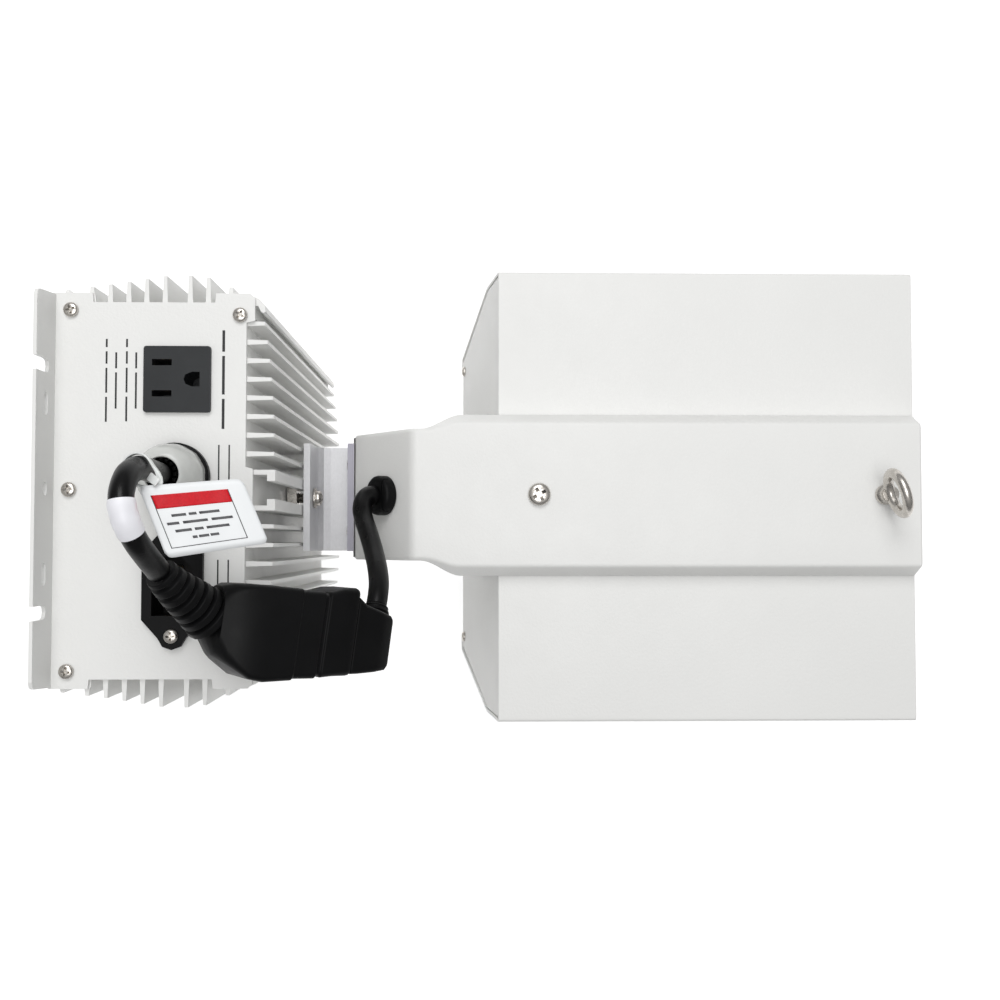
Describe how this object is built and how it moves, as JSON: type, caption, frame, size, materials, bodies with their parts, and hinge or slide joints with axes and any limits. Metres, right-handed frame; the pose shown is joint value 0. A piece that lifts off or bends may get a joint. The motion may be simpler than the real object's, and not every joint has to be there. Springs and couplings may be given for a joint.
{
  "type": "grow lamp",
  "caption": "Grow light with a finned ballast, a sliding and tilting bracket, and a white reflector hood holding a discharge lamp, joined by a plug-in lamp cord.",
  "frame": {"origin": "centre of the ballast's flat mounting face", "axes": "+X from the mounting face to the hood's far end, +Z out of the hood's roof, +Y across the hood"},
  "size_m": [0.3912, 0.205, 0.3357],
  "materials": {
    "white_powder_coat": "fine-textured matt powder coat",
    "black_plastic": "moulded, satin",
    "slate_plastic": "moulded, satin",
    "grey_nylon": "glossy moulded nylon",
    "plated_steel": "nickel-plated",
    "bare_aluminium": "satin bare aluminium",
    "reflector_aluminium": "bright specular aluminium",
    "brass": "turned",
    "white_label": "satin film",
    "ceramic": "unglazed white ceramic",
    "glass": "clear",
    "circuit_board": "solder resist",
    "ferrite": "sintered"
  },
  "bodies": {
    "ballast": {"back_plate": "white_powder_coat", "ballast_housing": "white_powder_coat", "bottom_end_plate": "white_powder_coat", "bottom_screw_1": "plated_steel", "bottom_screw_2": "plated_steel", "bottom_screw_3": "plated_steel", "bottom_screw_4": "plated_steel", "capacitor": "black_plastic", "choke_core": "ferrite", "circuit_board": "circuit_board", "gland_body": "black_plastic", "gland_nut": "grey_nylon", "inlet_pin_earth": "brass", "inlet_pin_line": "brass", "inlet_pin_neutral": "brass", "inlet_screw_1": "plated_steel", "inlet_screw_2": "plated_steel", "lead_sleeve": "white_label", "mains_inlet": "black_plastic", "outlet": "slate_plastic", "output_lead": "black_plastic", "top_end_plate": "white_powder_coat", "top_screw_1": "plated_steel", "top_screw_2": "plated_steel", "top_screw_3": "plated_steel", "top_screw_4": "plated_steel", "top_screw_5": "plated_steel", "top_screw_6": "plated_steel"},
    "slider": {"slot_nut": "plated_steel", "slot_washer": "plated_steel", "slot_bolt": "plated_steel", "output_connector": "black_plastic", "lamp_plug": "black_plastic", "lamp_cord": "black_plastic"},
    "tag": {"lead_tag": "white_label", "tag_tie": "grey_nylon"},
    "eyebolt": {"eyebolt": "plated_steel", "eyebolt_nut": "plated_steel"},
    "lamp": {"lamp_base": "ceramic", "lamp_envelope": "glass", "arc_tube": "ceramic"},
    "hood": {"bracket": "bare_aluminium", "bracket_screw_1": "plated_steel", "bracket_screw_2": "plated_steel", "hood_roof": "white_powder_coat", "hood_side_1": "white_powder_coat", "hood_side_2": "white_powder_coat", "left_end_wall": "white_powder_coat", "right_end_wall": "white_powder_coat", "left_rim_screw_1": "plated_steel", "left_rim_screw_2": "plated_steel", "right_rim_screw_1": "plated_steel", "right_rim_screw_2": "plated_steel", "reflector": "reflector_aluminium", "spine_cover": "white_powder_coat", "neck_floor": "white_powder_coat", "socket_bracket": "plated_steel", "lamp_socket": "ceramic", "spine_screw": "plated_steel", "strain_relief": "black_plastic"}
  },
  "joints": [
    {"name": "hood_slide", "type": "slide", "parent": "ballast", "child": "slider", "axis": [0, 0, 1], "range_m": [-0.01, 0.02], "deforming": ["output_lead", "lead_sleeve"]},
    {"name": "hood_tilt", "type": "hinge", "parent": "slider", "child": "hood", "pos_m": [0.0911, 0, 0.0275], "axis": [1, 0, 0], "range_deg": [-20, 20], "deforming": ["lamp_cord"]},
    {"name": "eyebolt_turn", "type": "hinge", "parent": "hood", "child": "eyebolt", "pos_m": [0.3558, 0, 0.075], "axis": [0, 0, 1], "continuous": true},
    {"name": "lamp_turn", "type": "hinge", "parent": "hood", "child": "lamp", "pos_m": [0.1629, 0, 0.025], "axis": [1, 0, 0], "range_deg": [0, 20]},
    {"name": "tag_swing", "type": "hinge", "parent": "ballast", "child": "tag", "pos_m": [0.0523, 0.0048, 0.1742], "axis": [0, 0, 1], "range_deg": [0, 50]}
  ]
}
